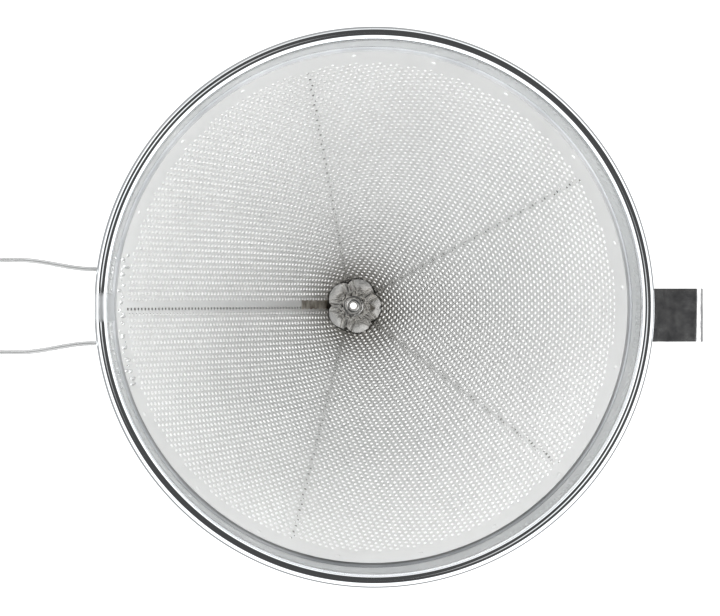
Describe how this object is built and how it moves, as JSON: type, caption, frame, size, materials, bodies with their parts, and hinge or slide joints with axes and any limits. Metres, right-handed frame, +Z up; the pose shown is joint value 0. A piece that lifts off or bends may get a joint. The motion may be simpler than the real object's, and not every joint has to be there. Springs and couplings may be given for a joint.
{
  "type": "strainer",
  "caption": "Conical double sieve strainer: rolled steel ring with a perforated cone inside a fine mesh cone, long wire handle and rest hook.",
  "frame": {"origin": "on the cone's axis, in the plane of the undersides of the handle and the hook strap, which is where the vessel's rim carries the strainer", "axes": "+Z up along the cone's axis, -X towards the handle, +X towards the hook, +Y to the left of the hook seen from the handle"},
  "size_m": [0.4109, 0.25, 0.2237],
  "materials": {
    "ring_steel": "polished stainless steel",
    "perforated_sheet": "bright rolled stainless sheet with small round holes",
    "fine_mesh": "plain woven bright stainless wire",
    "wire_steel": "smooth drawn stainless wire",
    "hub_steel": "pressed stainless steel, bright"
  },
  "bodies": {
    "root": {"rim_band": "ring_steel", "rim_wire": "wire_steel", "coarse_cone": "perforated_sheet", "fine_cone": "fine_mesh", "fine_mesh_hoop": "perforated_sheet", "support_wire_1": "wire_steel", "support_wire_2": "wire_steel", "support_wire_3": "wire_steel", "support_wire_4": "wire_steel", "support_wire_5": "wire_steel", "hub_rosette": "hub_steel", "hub_cap": "hub_steel", "hub_rivet": "hub_steel", "handle_wire": "wire_steel", "bucket_hook": "ring_steel"}
  },
  "joints": []
}
